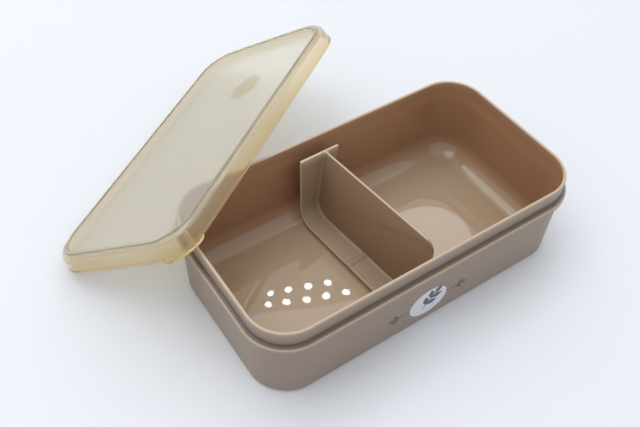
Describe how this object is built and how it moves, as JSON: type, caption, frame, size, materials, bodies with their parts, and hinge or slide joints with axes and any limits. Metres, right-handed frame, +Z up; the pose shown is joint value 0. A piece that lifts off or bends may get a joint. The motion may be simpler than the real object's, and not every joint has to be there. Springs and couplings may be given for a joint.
{
  "type": "lunch box",
  "caption": "Small rounded plastic lunch box with a loose standing divider and a soft press-on lid, shown open with the lid leaning on one corner.",
  "frame": {"origin": "centre of the container's flat base, on the surface it stands on", "axes": "+X along the container's long side, -Y towards its front long side, +Z up out of its mouth"},
  "size_m": [0.2238, 0.2159, 0.0598],
  "materials": {
    "container": "satin outside, glossy inside, milk-chocolate brown",
    "divider": "glossy brown",
    "soft_lid": "satin, milky translucent amber"
  },
  "bodies": {
    "box": {"container": "container"},
    "divider": {"divider": "divider"},
    "lid": {"soft_lid": "soft_lid"}
  },
  "joints": [
    {"name": "divider_slide", "type": "slide", "parent": "box", "child": "divider", "axis": [1, 0, 0], "range_m": [-0.045, 0.055]},
    {"name": "lid_lift", "type": "slide", "parent": "box", "child": "lid", "axis": [0, 0, 1], "range_m": [0, 0.12]}
  ]
}
